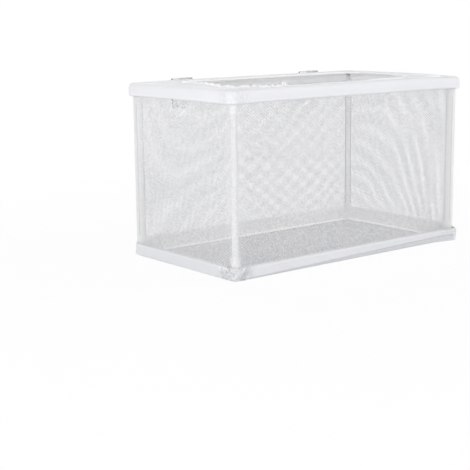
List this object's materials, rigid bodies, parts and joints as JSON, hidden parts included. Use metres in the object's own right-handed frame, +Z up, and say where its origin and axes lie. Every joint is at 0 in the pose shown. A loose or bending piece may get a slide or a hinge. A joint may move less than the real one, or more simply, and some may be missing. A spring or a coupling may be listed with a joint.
{
  "type": "fish breeding box",
  "caption": "Open-topped white mesh box on a plastic tube frame, hung inside an aquarium by suction cups to keep fry apart.",
  "frame": {"origin": "centre of the box's base, on the underside of the net floor, in the plane that it rests on", "axes": "+X along the box to the right, +Y to the back wall that hangs on the aquarium glass, +Z up"},
  "size_m": [0.265, 0.1559, 0.1517],
  "materials": {
    "white_plastic": "semi-gloss white",
    "white_net": "fine open mesh",
    "white_ribbon": "woven ribbon",
    "satin_hem": "smooth satin cloth",
    "clear_plastic": "clear, glossy",
    "clear_pvc": "clear soft PVC"
  },
  "bodies": {
    "frame": {"connector_bottom_front_left": "white_plastic", "connector_bottom_front_right": "white_plastic", "connector_bottom_back_left": "white_plastic", "connector_bottom_back_right": "white_plastic", "connector_top_front_left": "white_plastic", "connector_top_front_right": "white_plastic", "connector_top_back_left": "white_plastic", "connector_top_back_right": "white_plastic", "post_front_left": "white_plastic", "post_front_right": "white_plastic", "post_back_left": "white_plastic", "post_back_right": "white_plastic", "rail_bottom_front": "white_plastic", "rail_bottom_back": "white_plastic", "rail_bottom_left": "white_plastic", "rail_bottom_right": "white_plastic", "rail_top_front": "white_plastic", "rail_top_back": "white_plastic", "rail_top_left": "white_plastic", "rail_top_right": "white_plastic", "net_front": "white_net", "net_back": "white_net", "net_left": "white_net", "net_right": "white_net", "net_floor": "white_net", "base_binding": "white_ribbon", "top_hem": "satin_hem", "opening_elastic": "satin_hem"},
    "clip_left": {"clip_left": "clear_plastic"},
    "clip_right": {"clip_right": "clear_plastic"},
    "suction_cup_left": {"suction_cup_left": "clear_pvc"},
    "suction_cup_right": {"suction_cup_right": "clear_pvc"}
  },
  "joints": [
    {"name": "clip_left_slide", "type": "slide", "parent": "frame", "child": "clip_left", "axis": [1, 0, 0], "range_m": [-0.035, 0.055]},
    {"name": "suction_cup_left_turn", "type": "hinge", "parent": "clip_left", "child": "suction_cup_left", "pos_m": [-0.075, 0.0746, 0.13], "axis": [0, 1, 0], "continuous": true},
    {"name": "clip_right_slide", "type": "slide", "parent": "frame", "child": "clip_right", "axis": [1, 0, 0], "range_m": [-0.055, 0.035]},
    {"name": "suction_cup_right_turn", "type": "hinge", "parent": "clip_right", "child": "suction_cup_right", "pos_m": [0.075, 0.0746, 0.13], "axis": [0, 1, 0], "continuous": true}
  ]
}
